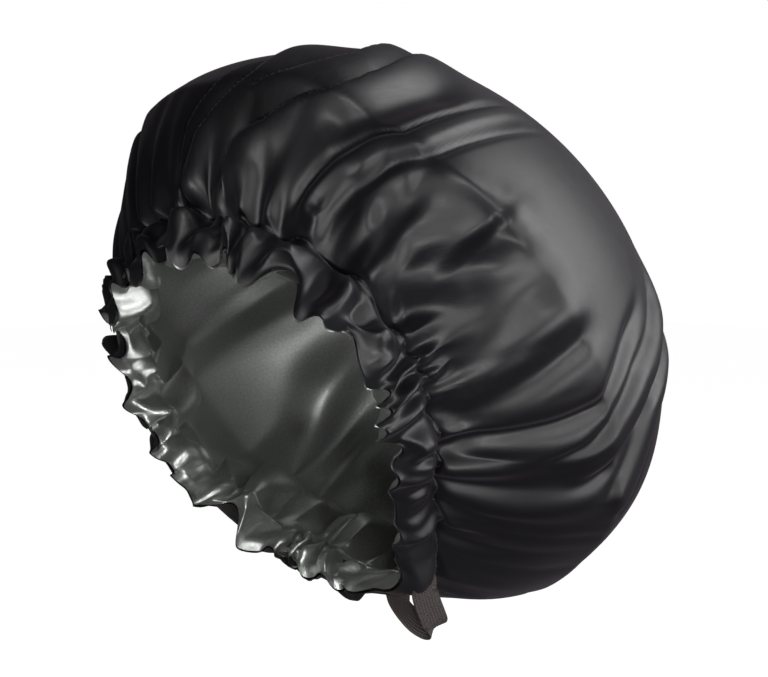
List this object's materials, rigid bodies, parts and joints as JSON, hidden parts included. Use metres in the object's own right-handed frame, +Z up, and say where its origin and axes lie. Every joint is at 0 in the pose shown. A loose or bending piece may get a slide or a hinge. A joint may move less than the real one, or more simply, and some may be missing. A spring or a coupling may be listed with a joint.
{
  "type": "sleep bonnet",
  "caption": "Round gathered two-layer satin bonnet in its worn shape, with an elastic casing round the opening and a short adjusting strap loop at the nape.",
  "frame": {"origin": "middle of the opening, at half the casing's width, where the wearer's head goes in", "axes": "+Z up as worn, -Y to the wearer's front, +X to the wearer's left; the crown's axis leans 59 degrees back from +Z towards +Y, and the opening faces down and forward"},
  "size_m": [0.279, 0.2301, 0.2569],
  "materials": {
    "black_satin": "satin, soft sheen",
    "silver_satin": "satin, bright sheen",
    "black_elastic": "ribbed, matt"
  },
  "bodies": {
    "root": {"outer_shell": "black_satin", "lining": "silver_satin", "elastic_band": "black_elastic", "strap_loop": "black_elastic"}
  },
  "joints": []
}
